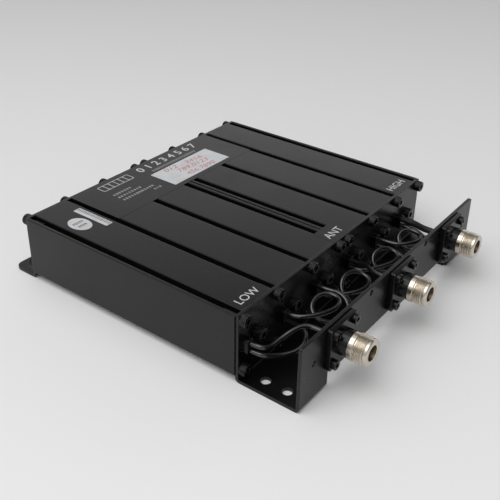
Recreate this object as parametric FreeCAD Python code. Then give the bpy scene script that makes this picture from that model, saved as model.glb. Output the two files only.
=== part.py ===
import FreeCAD, Part
import math
import os
from FreeCAD import Vector

os.makedirs("parts", exist_ok=True)

# Body: two extrusions side by side, three cavities in each
extrusion_width = 100.0
extrusion_count = 2
extrusion_gap = 1.0
cavities_each = 3
body_height = 38.4
body_lift = 4.3
body_depth = 163.0
outer_wall = 2.2
rib_wall = 2.2
rib_inset = 33.5
edge_round = 0.6
cavity_round = 1.2

# Open screw slots along the top and the bottom of each extrusion
slot_width = 4.0
slot_centre_depth = 3.5
slot_wall = 1.6
slot_lip = 0.7

# Folded sheets
sheet = 2.0
bend_inner = 1.0
sheet_inset = 0.7
channel_depth = 38.6
upright_height = 40.5
upright_corner = 1.4
ear_width = 26.0
ear_corner = 2.0
window_top = 12.0
window_reach = 14.0
ear_hole_radius = 2.9
ear_hole_inset = 9.3
front_hole_first = 11.8
front_hole_second = 25.6
rear_ear_depth = 18.0
rear_hole_set = 10.5
rear_corner = 5.0
spare_hole_radius = 1.8
spare_hole_inset = 12.3
spare_hole_height = 25.0
spare_hole_top_drop = 3.0

# Cap screws of the end plates
screw_shank = 3.9
screw_head = 7.0
screw_head_height = 4.0
screw_length = 12.0
screw_hole_clearance = 0.25
cut_past = 1.0
socket_share = 0.43
socket_depth_share = 0.55
head_round = 0.4

# Resonator rods, each held by one larger cap screw in the front plate
rod_radius = 5.5
rod_end_gap = 19.0
rod_bore_radius = 4.0
rod_bore_depth = 34.0
rod_screw_shank = 4.9
rod_screw_head = 8.0
rod_screw_head_height = 4.5
rod_screw_length = 14.0

# Tuning screws in the rear plate
tuner_radius = 3.0
tuner_entry = 15.0
tuner_reach = 10.0
tuner_clearance = 0.05
tuner_slot = 0.9
tuner_slot_depth = 1.6
bush_radius = 4.5
bush_flange_radius = 6.0
bush_flange = 1.5
bush_length = 7.0
lock_nut_across = 10.0
lock_nut_height = 3.2
lock_nut_bevel = 0.4

# Cable ports in the front plate and the loops behind them
port_offset = 11.2
port_pitch = 4.7
port_centre_drop = 0.95
port_radius = 2.7
port_reach = 4.0
port_flange = 0.8
loop_wire_radius = 0.6
loop_reach = 16.0
loop_drop = 9.0

# Connectors on the upright
connector_inset = 34.8
connector_height = 27.0
flange_side = 25.4
flange_thick = 3.5
flange_corner = 1.6
neck_end = 9.0
ring_end = 12.2
relief_end = 12.9
thread_end = 18.3
connector_reach = 20.4
neck_radius = 7.6
ring_radius = 7.9
relief_radius = 7.2
thread_radius = 7.9375
mouth_chamfer = 0.6
mouth_radius = 4.3
mouth_depth = 9.2
insulator_radius = 3.0
insulator_stand = 1.0
contact_radius = 1.5
contact_bore = 0.8
contact_stand = 5.0
contact_slit = 0.35
contact_slit_length = 3.0
back_radius = 6.2
back_length = 1.5
flange_screw_pitch = 18.26
flange_screw_shank = 2.8
flange_screw_head = 5.6
flange_screw_head_height = 2.4
flange_screw_length = 5.3

# Coaxial links and the ferrules at the connectors
cable_diameter = 2.7
sleeved_diameter = 4.2
ferrule_radius = 2.6
ferrule_length = 5.0
ferrule_round = 0.8
branch_radius = 2.0
branch_reach = 6.0
straight_run = 4.8
arc_share = 0.45

# Flat pieces on the top
label_thick = 0.2
nameplate_inset = 35.0
nameplate_set = 42.0
antenna_plate_width = 17.0
antenna_plate_depth = 15.5
sticker_width = 55.8
sticker_depth = 22.5
sticker_offset = 17.8
sticker_set = 122.6
serial_width = 6.0
serial_depth = 31.0
serial_first = 25.2
serial_set = 117.5
oval_width = 12.0
oval_depth = 18.6
oval_centre = 16.8
oval_set = 133.0

# Places that follow from the sizes above
extrusion_pitch = extrusion_width + extrusion_gap
body_width = extrusion_pitch * extrusion_count - extrusion_gap
low_edge = -body_width / 2
body_top = body_lift + body_height
middle_height = body_lift + body_height / 2
overall_depth = connector_reach + channel_depth + body_depth + rear_ear_depth
plate_front = connector_reach + channel_depth - overall_depth / 2
plate_back = plate_front + sheet
upright_front = plate_front - channel_depth
upright_back = upright_front + sheet
rear_face = plate_front + body_depth
rear_inner = rear_face - sheet
extrusion_length = rear_inner - plate_back
rod_length = extrusion_length - rod_end_gap
tuner_length = tuner_reach + sheet + rod_end_gap + tuner_entry
connector_spacing = body_width / 2 - connector_inset
sheet_width = body_width - 2 * sheet_inset
bend_outer = bend_inner + sheet
upper_port = middle_height - port_centre_drop + port_pitch / 2
lower_port = upper_port - port_pitch
port_face = plate_front - port_reach


def box(low, high):
    size = [high[i] - low[i] for i in range(3)]
    return Part.makeBox(size[0], size[1], size[2], Vector(*low))


def rod(radius, start, length, direction=(0, 1, 0)):
    return Part.makeCylinder(radius, length, Vector(*start), Vector(*direction))


def save(name, shape):
    shape.exportStep("parts/" + name + ".step")


def save_group(name, shapes):
    save(name, Part.makeCompound(shapes))


def face_of(edges):
    return Part.Face(Part.Wire(edges))


def rounded_face(x0, z0, x1, z1, radius, y):
    """Rectangle with round corners in the plane across Y."""
    corners = [(x0, z0), (x1, z0), (x1, z1), (x0, z1)]
    points = []
    for index, (x, z) in enumerate(corners):
        before = corners[index - 1]
        after = corners[(index + 1) % 4]
        for other in (before, after):
            span = math.hypot(other[0] - x, other[1] - z)
            share = radius / span
            points.append(Vector(x + (other[0] - x) * share, y, z + (other[1] - z) * share))
    edges = []
    diagonal = radius * (1 - math.sqrt(0.5))
    centre_x = (x0 + x1) / 2
    centre_z = (z0 + z1) / 2
    for index, (x, z) in enumerate(corners):
        entry = points[2 * index]
        leave = points[2 * index + 1]
        inward_x = diagonal if x < centre_x else -diagonal
        inward_z = diagonal if z < centre_z else -diagonal
        edges.append(Part.Arc(entry, Vector(x + inward_x, y, z + inward_z), leave).toShape())
        edges.append(Part.LineSegment(leave, points[(2 * index + 2) % 8]).toShape())
    return face_of(edges)


def rect_face(x0, z0, x1, z1, y):
    corners = [(x0, z0), (x1, z0), (x1, z1), (x0, z1), (x0, z0)]
    return Part.Face(Part.makePolygon([Vector(x, y, z) for x, z in corners]))


def fillet_where(shape, radius, test):
    edges = [edge for edge in shape.Edges if test(edge)]
    return shape.makeFillet(radius, edges)


def runs_along(edge, axis):
    first = edge.Vertexes[0].Point
    last = edge.Vertexes[-1].Point
    step = [abs(last[i] - first[i]) for i in range(3)]
    others = [step[i] for i in range(3) if i != axis]
    return len(edge.Vertexes) == 2 and step[axis] > 0.01 and max(others) < 0.001


def middle(edge):
    return edge.BoundBox.Center


# Places along the width, measured from the low edge of one extrusion
slot_inset = outer_wall + slot_width / 2
slot_places = [slot_inset, rib_inset, extrusion_width - rib_inset, extrusion_width - slot_inset]
rib_faces = [
    outer_wall,
    rib_inset - rib_wall / 2,
    rib_inset + rib_wall / 2,
    extrusion_width - rib_inset - rib_wall / 2,
    extrusion_width - rib_inset + rib_wall / 2,
    extrusion_width - outer_wall,
]
extrusion_starts = [low_edge + index * extrusion_pitch for index in range(extrusion_count)]
slot_xs = [start + place for start in extrusion_starts for place in slot_places]
cavity_spans = [
    (start + rib_faces[2 * index], start + rib_faces[2 * index + 1])
    for start in extrusion_starts
    for index in range(cavities_each)
]
cavity_xs = [(span[0] + span[1]) / 2 for span in cavity_spans]
port_xs = [x - port_offset for x in cavity_xs]
upper_slot = body_top - slot_centre_depth
lower_slot = body_lift + slot_centre_depth
connector_xs = [-connector_spacing, 0.0, connector_spacing]


def make_extrusion(start):
    """One extruded length: outer walls, two ribs, guards round the screw slots, open slots."""

    def length_of(face):
        return face.extrude(Vector(0, extrusion_length, 0))

    floor = body_lift + outer_wall
    roof = body_top - outer_wall
    end = start + extrusion_width
    solid = length_of(rounded_face(start, body_lift, end, body_top, edge_round, plate_back))
    cavities = []
    for index in range(cavities_each):
        left = start + rib_faces[2 * index]
        right = start + rib_faces[2 * index + 1]
        cavities.append(length_of(rounded_face(left, floor, right, roof, cavity_round, plate_back)))
    solid = solid.cut(cavities)
    guard = slot_width / 2 + slot_wall
    guards = []
    for place in slot_places:
        left = max(start + place - guard, start + outer_wall / 2)
        right = min(start + place + guard, end - outer_wall / 2)
        for low_z, high_z in (
            (upper_slot - guard, roof + outer_wall / 2),
            (floor - outer_wall / 2, lower_slot + guard),
        ):
            guards.append(length_of(rect_face(left, low_z, right, high_z, plate_back)))
    solid = solid.fuse(guards)
    grooves = []
    for place in slot_places:
        x = start + place
        for centre, mouth in ((upper_slot, body_top + cut_past), (lower_slot, body_lift - cut_past)):
            low_z = min(centre, mouth)
            high_z = max(centre, mouth)
            left = x - slot_width / 2
            grooves.append(length_of(rect_face(left, low_z, left + slot_width, high_z, plate_back)))
            grooves.append(rod(slot_width / 2, (x, plate_back, centre), extrusion_length))
    solid = solid.cut(grooves).removeSplitter().Solids[0]

    def slot_mouth(edge):
        at = middle(edge)
        on_skin = min(abs(at.z - body_top), abs(at.z - body_lift)) < 0.01
        offsets = [abs(at.x - start - place) for place in slot_places]
        return runs_along(edge, 1) and on_skin and abs(min(offsets) - slot_width / 2) < 0.01

    return fillet_where(solid, slot_lip, slot_mouth)


def bracket_bends(shape):
    """Round the two folds of the bracket, inside and outside."""

    def outer(edge):
        at = middle(edge)
        low = abs(at.z) < 0.01
        return low and runs_along(edge, 0) and min(abs(at.y - upright_front), abs(at.y - plate_back)) < 0.01

    def inner(edge):
        at = middle(edge)
        low = abs(at.z - sheet) < 0.01
        return low and runs_along(edge, 0) and min(abs(at.y - upright_back), abs(at.y - plate_front)) < 0.01

    return fillet_where(fillet_where(shape, bend_outer, outer), bend_inner, inner)


def ear_relief(side):
    """Space beside an ear's fold, with the ear's own lower corner rounded."""
    edge = side * (sheet_width / 2 - ear_width)
    far = edge + side * ear_corner
    block = box(
        (min(edge, far), upright_front - sheet, -sheet),
        (max(edge, far), upright_back + bend_inner, ear_corner),
    )
    keep = rod(ear_corner, (far, upright_front - 2 * sheet, ear_corner), window_reach)
    return block.cut(keep)


def screw_hole(x, z, radius):
    return rod(radius, (x, plate_front - sheet, z), 4 * sheet)


def make_front_bracket():
    half = sheet_width / 2
    leg = box((-half, plate_front, 0), (half, plate_back, body_top))
    base = box((-half, upright_front, 0), (half, plate_back, sheet))
    upright = box((-half, upright_front, 0), (half, upright_back, upright_height))
    bracket = bracket_bends(leg.fuse([base, upright]).removeSplitter())
    inner_half = half - ear_width
    window_end = upright_front + window_reach
    window = box((-inner_half, upright_front - sheet, -sheet), (inner_half, window_end, window_top))
    bracket = bracket.cut([window, ear_relief(-1), ear_relief(1)])

    def top_corner(edge):
        at = middle(edge)
        on_upright = upright_front < at.y < upright_back
        return runs_along(edge, 1) and on_upright and abs(at.z - upright_height) < 0.01

    bracket = fillet_where(bracket, upright_corner, top_corner)
    holes = []
    plate_screw_hole = screw_shank / 2 + screw_hole_clearance
    for x in slot_xs:
        for z in (upper_slot, lower_slot):
            holes.append(screw_hole(x, z, plate_screw_hole))
    for x in cavity_xs:
        holes.append(screw_hole(x, middle_height, rod_screw_shank / 2 + screw_hole_clearance))
    for x in port_xs:
        holes.append(stadium(x, plate_front - sheet, 4 * sheet, port_radius - port_flange))
    for side in (-1, 1):
        x = side * (body_width / 2 - ear_hole_inset)
        for set_back in (front_hole_first, front_hole_second):
            holes.append(rod(ear_hole_radius, (x, plate_front - set_back, -sheet), 3 * sheet, (0, 0, 1)))
        spare_x = side * (body_width / 2 - spare_hole_inset)
        spare_start = (spare_x, upright_front - sheet, spare_hole_height)
        holes.append(rod(spare_hole_radius, spare_start, 3 * sheet))
        top_x = side * connector_spacing / 2
        top_start = (top_x, upright_front - sheet, upright_height - spare_hole_top_drop)
        holes.append(rod(spare_hole_radius, top_start, 3 * sheet))
    for x in connector_xs:
        holes.append(rod(back_radius, (x, upright_front - sheet, connector_height), 3 * sheet))
        for dx, z in flange_corners():
            holes.append(rod(flange_screw_shank / 2, (x + dx, upright_front - sheet, z), 3 * sheet))
    return bracket.cut(holes)


def flange_corners():
    half = flange_screw_pitch / 2
    return [(dx, connector_height + dz) for dx in (-half, half) for dz in (-half, half)]


def stadium(x, y, length, radius):
    """Upright slot-shaped bar along Y round both cable entries of a port."""
    upper = rod(radius, (x, y, upper_port), length)
    lower = rod(radius, (x, y, lower_port), length)
    web = box((x - radius, y, lower_port), (x + radius, y + length, upper_port))
    return upper.fuse([lower, web]).removeSplitter()


def make_rear_plate():
    half = sheet_width / 2
    ear_end = rear_face + rear_ear_depth
    leg = box((-half, rear_inner, 0), (half, rear_face, body_top))
    base = box((-half, rear_inner, 0), (half, ear_end, sheet))
    plate = leg.fuse(base).removeSplitter()

    def outer(edge):
        at = middle(edge)
        return runs_along(edge, 0) and abs(at.z) < 0.01 and abs(at.y - rear_inner) < 0.01

    def inner(edge):
        at = middle(edge)
        return runs_along(edge, 0) and abs(at.z - sheet) < 0.01 and abs(at.y - rear_face) < 0.01

    plate = fillet_where(fillet_where(plate, bend_outer, outer), bend_inner, inner)
    inner_half = half - ear_width
    notch = box((-inner_half, rear_inner - sheet, -sheet), (inner_half, ear_end + sheet, body_lift))
    plate = plate.cut(notch)

    def ear_corner_edge(edge):
        at = middle(edge)
        return runs_along(edge, 2) and abs(at.y - ear_end) < 0.01

    plate = fillet_where(plate, rear_corner, ear_corner_edge)
    holes = []
    for x in slot_xs:
        for z in (upper_slot, lower_slot):
            radius = screw_shank / 2 + screw_hole_clearance
            holes.append(rod(radius, (x, rear_inner - sheet, z), 3 * sheet))
    for x in cavity_xs:
        holes.append(rod(bush_radius, (x, rear_inner - sheet, middle_height), 3 * sheet))
    for side in (-1, 1):
        x = side * (body_width / 2 - ear_hole_inset)
        start = (x, rear_face + rear_hole_set, -sheet)
        holes.append(rod(ear_hole_radius, start, 3 * sheet, (0, 0, 1)))
    return plate.cut(holes)


def hexagon(across, x, y, z, length, direction=1):
    corner = across / math.sqrt(3)
    points = []
    for index in range(7):
        angle = math.radians(60 * index)
        points.append(Vector(x + corner * math.cos(angle), y, z + corner * math.sin(angle)))
    return Part.Face(Part.makePolygon(points)).extrude(Vector(0, direction * length, 0))


def cap_screw(x, z, face, direction, head, head_height, shank, length):
    """Cap screw whose head sits on a plate face; its head points along the given direction of Y."""
    way = (0, direction, 0)
    top = face + direction * head_height
    cylinder = rod(head / 2, (x, face, z), head_height, way)

    def top_rim(edge):
        return abs(middle(edge).y - top) < 0.01 and abs(edge.BoundBox.XLength - head) < 0.01

    cylinder = fillet_where(cylinder, head_round, top_rim)
    socket = hexagon(head * socket_share, x, top, z, head_height * socket_depth_share, -direction)
    body = rod(shank / 2, (x, face, z), length, (0, -direction, 0))
    return cylinder.cut(socket).fuse(body).removeSplitter().Solids[0]


def plate_screws(face, direction):
    screws = []
    for x in slot_xs:
        for z in (upper_slot, lower_slot):
            screws.append(
                cap_screw(x, z, face, direction, screw_head, screw_head_height, screw_shank, screw_length)
            )
    return screws


def rod_screw(x):
    head = rod_screw_head
    height = rod_screw_head_height
    return cap_screw(x, middle_height, plate_front, -1, head, height, rod_screw_shank, rod_screw_length)


def resonator(x):
    bar = rod(rod_radius, (x, plate_back, middle_height), rod_length)
    free_end = plate_back + rod_length
    bore = rod(rod_bore_radius, (x, free_end - rod_bore_depth, middle_height), rod_bore_depth)
    tapped = rod(rod_screw_shank / 2, (x, plate_back, middle_height), rod_screw_length)

    def end_rim(edge):
        return abs(middle(edge).y - free_end) < 0.01 and abs(edge.BoundBox.XLength - 2 * rod_radius) < 0.01

    return fillet_where(bar, edge_round, end_rim).cut([bore, tapped])


def tuning_bush(x):
    body = rod(bush_radius, (x, rear_face - bush_length, middle_height), bush_length)
    flange = rod(bush_flange_radius, (x, rear_face, middle_height), bush_flange)
    bore_radius = tuner_radius + tuner_clearance
    bore = rod(bore_radius, (x, rear_face - 2 * bush_length, middle_height), 4 * bush_length)
    return body.fuse(flange).cut(bore).removeSplitter().Solids[0]


def lock_nut(x):
    face = rear_face + bush_flange
    nut = hexagon(lock_nut_across, x, face, middle_height, lock_nut_height)
    crown_radius = lock_nut_across / math.sqrt(3) - lock_nut_bevel
    crown = Part.makeCone(
        crown_radius + lock_nut_height,
        crown_radius,
        lock_nut_height,
        Vector(x, face, middle_height),
        Vector(0, 1, 0),
    )
    bore_start = (x, face - cut_past, middle_height)
    bore = rod(tuner_radius + tuner_clearance, bore_start, lock_nut_height + 2 * cut_past)
    return nut.common(crown).cut(bore)


def tuning_screw(x):
    end = rear_face + tuner_reach
    stem = rod(tuner_radius, (x, end - tuner_length, middle_height), tuner_length)
    stem = stem.makeChamfer(edge_round, [edge for edge in stem.Edges if edge.BoundBox.YLength < 0.01])
    cut_low = (x - 2 * tuner_radius, end - tuner_slot_depth, middle_height - tuner_slot / 2)
    cut_high = (x + 2 * tuner_radius, end + cut_past, middle_height + tuner_slot / 2)
    return stem.cut(box(cut_low, cut_high))


def cable_port(x):
    body = stadium(x, port_face, port_reach, port_radius)
    rims = [edge for edge in body.Edges if abs(middle(edge).y - port_face) < 0.01]
    body = body.makeFillet(head_round, rims)
    return body.fuse(stadium(x, plate_front, sheet, port_radius - port_flange)).removeSplitter().Solids[0]


def coupling_loop(x):
    """Wire from the port's back, along the cavity and down beside the rod, back to the plate."""
    bend = loop_drop / 2 - loop_wire_radius
    far = plate_back + loop_reach
    top = upper_port
    low = top - loop_drop
    points = [
        Vector(x, plate_back, top),
        Vector(x, far - bend, top),
        Vector(x, far, top - bend),
        Vector(x, far, low + bend),
        Vector(x, far - bend, low),
        Vector(x, plate_back, low),
    ]
    corner = bend * math.sqrt(0.5)
    upper_mid = Vector(x, far - bend + corner, top - bend + corner)
    lower_mid = Vector(x, far - bend + corner, low + bend - corner)
    edges = [
        Part.LineSegment(points[0], points[1]).toShape(),
        Part.Arc(points[1], upper_mid, points[2]).toShape(),
        Part.LineSegment(points[2], points[3]).toShape(),
        Part.Arc(points[3], lower_mid, points[4]).toShape(),
        Part.LineSegment(points[4], points[5]).toShape(),
    ]
    return swept_tube(Part.Wire(edges), points[0], Vector(0, 1, 0), loop_wire_radius)


def swept_tube(path, start, direction, radius):
    ring = Part.Wire([Part.makeCircle(radius, start, direction)])
    tube = path.makePipeShell([ring], True, True)
    return tube


def make_shell(x):
    """One turned and milled connector body: square flange, neck, ring, relief, thread and mouth."""
    half = flange_side / 2
    flange = box(
        (x - half, upright_front - flange_thick, connector_height - half),
        (x + half, upright_front, connector_height + half),
    )
    flange = fillet_where(flange, flange_corner, lambda edge: runs_along(edge, 1))
    outline = [
        (back_radius, back_length + sheet),
        (back_radius, 0),
        (neck_radius, -flange_thick / 2),
        (neck_radius, -neck_end),
        (ring_radius, -neck_end),
        (ring_radius, -ring_end),
        (relief_radius, -ring_end),
        (relief_radius, -relief_end),
        (thread_radius, -relief_end),
        (thread_radius, -thread_end),
        (ring_radius - mouth_chamfer / 2, -thread_end - mouth_chamfer / 2),
        (ring_radius - mouth_chamfer / 2, mouth_chamfer - connector_reach),
        (ring_radius - 1.5 * mouth_chamfer, -connector_reach),
        (mouth_radius, -connector_reach),
        (mouth_radius, mouth_depth - connector_reach),
        (insulator_radius, mouth_depth - connector_reach),
        (insulator_radius, back_length + sheet),
    ]
    points = [Vector(x + radius, upright_front + y, connector_height) for radius, y in outline]
    profile = Part.Face(Part.makePolygon(points + points[:1]))
    turned = profile.revolve(Vector(x, 0, connector_height), Vector(0, 1, 0), 360)
    bore_start = (x, upright_front - flange_thick - cut_past, connector_height)
    bore = rod(insulator_radius, bore_start, flange_thick + 2 * cut_past)
    shell = flange.cut(bore).fuse(turned)
    holes = []
    for dx, z in flange_corners():
        start = (x + dx, upright_front - 2 * flange_thick, z)
        holes.append(rod(flange_screw_shank / 2 + screw_hole_clearance, start, 3 * flange_thick))
    return shell.cut(holes).removeSplitter().Solids[0]


def make_insulator(x):
    front = upright_front - connector_reach + mouth_depth - insulator_stand
    back = upright_back + back_length
    bead = rod(insulator_radius, (x, front, connector_height), back - front)
    bore = rod(contact_radius, (x, front - cut_past, connector_height), back - front + 2 * cut_past)
    return bead.cut(bore)


def make_contact(x):
    front = upright_front - connector_reach + mouth_depth - contact_stand
    back = upright_back + back_length
    pin = rod(contact_radius, (x, front, connector_height), back - front)
    bore = rod(contact_bore, (x, front, connector_height), contact_stand)
    slit = box(
        (x - contact_slit / 2, front - cut_past, connector_height - 2 * contact_radius),
        (x + contact_slit / 2, front + contact_slit_length, connector_height + 2 * contact_radius),
    )
    return pin.cut([bore, slit])


def flange_screw(x, z):
    face = upright_front - flange_thick
    head = flange_screw_head
    height = flange_screw_head_height
    return cap_screw(x, z, face, -1, head, height, flange_screw_shank, flange_screw_length)


def lead_ferrule(x):
    back = upright_back + back_length
    tube = rod(ferrule_radius, (x, back, connector_height), ferrule_length)
    end = back + ferrule_length
    return fillet_where(tube, ferrule_round, lambda edge: abs(middle(edge).y - end) < 0.01)


def branched_ferrule(x):
    """Ferrule with one entry along its axis and one from the low side."""
    middle_y = upright_back + back_length + ferrule_length / 2
    branch = rod(branch_radius, (x, middle_y, connector_height), branch_reach, (-1, 0, 0))
    return lead_ferrule(x).fuse(branch).removeSplitter().Solids[0]


def cable_tube(name, route, diameter):
    """Tube along straight runs and tangent arcs; every arc is as large as its runs allow."""
    points = [Vector(*point) for point in route]
    edges = []
    at = points[0]
    radii = []
    for before, corner, after in zip(points, points[1:], points[2:]):
        run_in = corner - before
        run_out = after - corner
        turn = run_in.getAngle(run_out)
        setback = arc_share * min(run_in.Length, run_out.Length)
        radii.append(setback / math.tan(turn / 2))
        way_in = Vector(run_in).normalize()
        way_out = Vector(run_out).normalize()
        entry = corner - way_in * setback
        leave = corner + way_out * setback
        inward = (way_out - way_in).normalize()
        bulge = radii[-1] / math.cos(turn / 2) - radii[-1]
        edges.append(Part.LineSegment(at, entry).toShape())
        edges.append(Part.Arc(entry, corner + inward * bulge, leave).toShape())
        at = leave
    edges.append(Part.LineSegment(at, points[-1]).toShape())
    path = Part.Wire(edges)
    start_way = points[1] - points[0]
    tube = swept_tube(path, points[0], start_way, diameter / 2)
    section = math.pi * diameter ** 2 / 4
    print(name, "length", round(path.Length, 1), "tightest", round(min(radii), 1), end=" ")
    print("volume share", round(tube.Volume / (section * path.Length), 4))
    return tube


def from_port(index, height):
    """Where a link leaves a port, and the end of its first straight run."""
    x = port_xs[index]
    return [(x, port_face, height), (x, port_face - straight_run, height)]


def to_port(index, height):
    return from_port(index, height)[::-1]


def to_lead(index):
    x = connector_xs[index]
    end = upright_back + back_length + ferrule_length
    return [(x, end + straight_run, connector_height), (x, end, connector_height)]


def to_branch():
    x = connector_xs[1] - branch_reach
    y = upright_back + back_length + ferrule_length / 2
    return [(x - straight_run, y, connector_height), (x, y, connector_height)]


def between(index, points):
    """Route points given from a port's axis and the front plate's face."""
    return [(port_xs[index] + dx, plate_front + dy, z) for dx, dy, z in points]


low_lead_points = [
    (2.2, -11.6, 24.0), (7.2, -12.9, 23.5), (13.4, -13.8, 24.8), (20.4, -16.6, 27.4), (26.2, -19.8, 28.2),
]
link_1_2_points = [
    (2.2, -12.0, 19.2), (6.8, -14.4, 17.6), (12.0, -18.0, 16.8), (18.4, -21.8, 17.6), (25.5, -21.6, 20.0),
    (30.6, -17.0, 21.2),
]
link_2_3_points = [
    (4.0, -14.5, 25.2), (12.0, -19.8, 24.9), (22.0, -22.4, 24.3), (29.8, -19.6, 24.3), (30.2, -12.2, 25.6),
    (23.5, -7.8, 25.8), (15.8, -8.4, 22.8), (13.0, -14.0, 18.4), (16.8, -21.8, 16.4), (25.2, -25.8, 16.8),
    (33.6, -23.4, 19.6), (36.2, -16.2, 23.6),
]
link_3_antenna_points = [
    (5.0, -13.6, 20.8), (11.5, -19.4, 20.8), (20.2, -23.0, 20.6), (28.0, -21.4, 21.8), (29.2, -14.8, 23.8),
    (24.0, -10.0, 25.8), (16.6, -9.0, 25.2), (11.4, -11.0, 20.6), (10.0, -16.5, 15.8), (8.6, -24.4, 15.8),
    (8.4, -30.0, 19.8), (11.6, -32.0, 25.4),
]
link_antenna_4_points = [(-0.5, -14.5, 25.8), (-4.5, -19.8, 26.6)]
link_4_5_points = [
    (1.8, -12.2, 20.2), (6.4, -15.2, 20.4), (12.4, -18.8, 20.6), (19.4, -22.0, 20.9), (25.6, -22.4, 21.6),
    (28.7, -18.2, 23.2), (26.4, -13.2, 24.8), (20.8, -10.8, 25.8), (14.6, -9.8, 23.4), (11.6, -13.6, 17.6),
    (14.6, -21.6, 15.6), (22.6, -27.0, 15.6), (31.2, -25.0, 16.8), (35.4, -17.6, 18.8),
]
link_5_6_points = [
    (0.8, -16.0, 25.0), (6.6, -22.4, 24.8), (15.2, -25.4, 24.2), (22.4, -22.6, 24.4), (22.6, -15.2, 25.8),
    (16.8, -11.0, 25.6), (11.0, -11.8, 22.0), (10.2, -18.0, 17.4), (15.6, -25.2, 16.0), (24.4, -27.0, 16.2),
    (31.8, -22.0, 17.4), (34.4, -14.4, 19.2),
]
high_lead_points = [(-0.6, -14.5, 24.8), (-3.6, -19.8, 25.6)]
cables = {
    "low_lead": from_port(0, upper_port) + between(0, low_lead_points) + to_lead(0),
    "link_1_2": from_port(0, lower_port) + between(0, link_1_2_points) + to_port(1, lower_port),
    "link_2_3": from_port(1, upper_port) + between(1, link_2_3_points) + to_port(2, upper_port),
    "link_3_antenna": from_port(2, lower_port) + between(2, link_3_antenna_points) + to_branch(),
    "link_antenna_4": from_port(3, upper_port) + between(3, link_antenna_4_points) + to_lead(1),
    "link_4_5": from_port(3, lower_port) + between(3, link_4_5_points) + to_port(4, lower_port),
    "link_5_6": from_port(4, upper_port) + between(4, link_5_6_points) + to_port(5, lower_port),
    "high_lead": from_port(5, upper_port) + between(5, high_lead_points) + to_lead(2),
}


def top_plate(x0, y0, x1, y1):
    return box((x0, y0, body_top), (x1, y1, body_top + label_thick))


def make_oval():
    x = low_edge + oval_centre
    y = plate_front + oval_set
    ellipse = Part.Ellipse(Vector(x, y, body_top), oval_depth / 2, oval_width / 2)
    face = face_of([ellipse.toShape()])
    face.rotate(Vector(x, y, body_top), Vector(0, 0, 1), 90)
    return face.extrude(Vector(0, 0, label_thick))


save("body_extrusion_low", make_extrusion(extrusion_starts[0]))
save("body_extrusion_high", make_extrusion(extrusion_starts[1]))
save("front_bracket", make_front_bracket())
save("rear_plate", make_rear_plate())
save_group("front_plate_screws", plate_screws(plate_front, -1))
save_group("rear_plate_screws", plate_screws(rear_face, 1))
save_group("resonator_screws", [rod_screw(x) for x in cavity_xs])
for number, x in enumerate(cavity_xs, 1):
    save("resonator_rod_%d" % number, resonator(x))
    save("tuning_screw_%d" % number, tuning_screw(x))
for number, x in enumerate(port_xs, 1):
    save("cable_port_%d" % number, cable_port(x))
    save("coupling_loop_%d" % number, coupling_loop(x))
save_group("tuning_bushes", [tuning_bush(x) for x in cavity_xs])
save_group("tuning_lock_nuts", [lock_nut(x) for x in cavity_xs])
for name, x in zip(("low", "antenna", "high"), connector_xs):
    save(name + "_connector_shell", make_shell(x))
    save(name + "_connector_insulator", make_insulator(x))
    save(name + "_connector_contact", make_contact(x))
flange_places = [(x + dx, z) for x in connector_xs for dx, z in flange_corners()]
save_group("flange_screws", [flange_screw(x, z) for x, z in flange_places])
save("low_lead_ferrule", lead_ferrule(connector_xs[0]))
save("high_lead_ferrule", lead_ferrule(connector_xs[2]))
save("antenna_ferrule", branched_ferrule(connector_xs[1]))
for name, route in cables.items():
    diameter = sleeved_diameter if name == "high_lead" else cable_diameter
    save(name, cable_tube(name, route, diameter))
nameplate_left = low_edge + nameplate_inset
nameplate_front = rear_face - nameplate_set
save("nameplate", top_plate(nameplate_left, nameplate_front, -nameplate_left, rear_face))
half_plate = antenna_plate_width / 2
save("antenna_legend", top_plate(-half_plate, plate_front, half_plate, plate_front + antenna_plate_depth))
sticker_left = sticker_offset - sticker_width / 2
sticker_front = plate_front + sticker_set
sticker_right = sticker_left + sticker_width
sticker = top_plate(sticker_left, sticker_front, sticker_right, sticker_front + sticker_depth)
save("tuning_sticker", sticker.translated(Vector(0, 0, label_thick)))
serial_left = low_edge + serial_first
serial_front = plate_front + serial_set
serial_right = serial_left + serial_width
save("serial_label", top_plate(serial_left, serial_front, serial_right, serial_front + serial_depth))
save("oval_sticker", make_oval())
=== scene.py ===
import math

import bmesh
import bpy
from mathutils import Matrix, Vector


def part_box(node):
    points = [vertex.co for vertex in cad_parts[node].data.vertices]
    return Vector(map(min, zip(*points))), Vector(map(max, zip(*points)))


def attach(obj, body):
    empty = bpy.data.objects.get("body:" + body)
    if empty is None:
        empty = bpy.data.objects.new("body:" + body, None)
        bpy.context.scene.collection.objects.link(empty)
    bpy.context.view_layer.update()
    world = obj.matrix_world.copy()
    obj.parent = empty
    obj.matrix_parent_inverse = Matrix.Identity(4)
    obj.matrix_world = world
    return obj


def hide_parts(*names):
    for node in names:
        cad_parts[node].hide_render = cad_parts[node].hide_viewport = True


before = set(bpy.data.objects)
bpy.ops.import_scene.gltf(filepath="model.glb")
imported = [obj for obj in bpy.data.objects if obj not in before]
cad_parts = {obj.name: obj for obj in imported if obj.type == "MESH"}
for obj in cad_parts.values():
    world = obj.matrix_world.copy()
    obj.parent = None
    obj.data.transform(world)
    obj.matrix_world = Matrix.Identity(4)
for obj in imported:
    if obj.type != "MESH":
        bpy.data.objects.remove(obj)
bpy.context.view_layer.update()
scene = bpy.context.scene
scene.view_settings.view_transform = "Standard"
housing = "housing"
fullTurn = 2 * math.pi
sharpAngle = math.radians(32)
mm = 0.001
weldGap = 0.001 * mm
cavityNumbers = range(1, 7)


def middleOf(node):
    low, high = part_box(node)
    return (low + high) / 2


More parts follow.
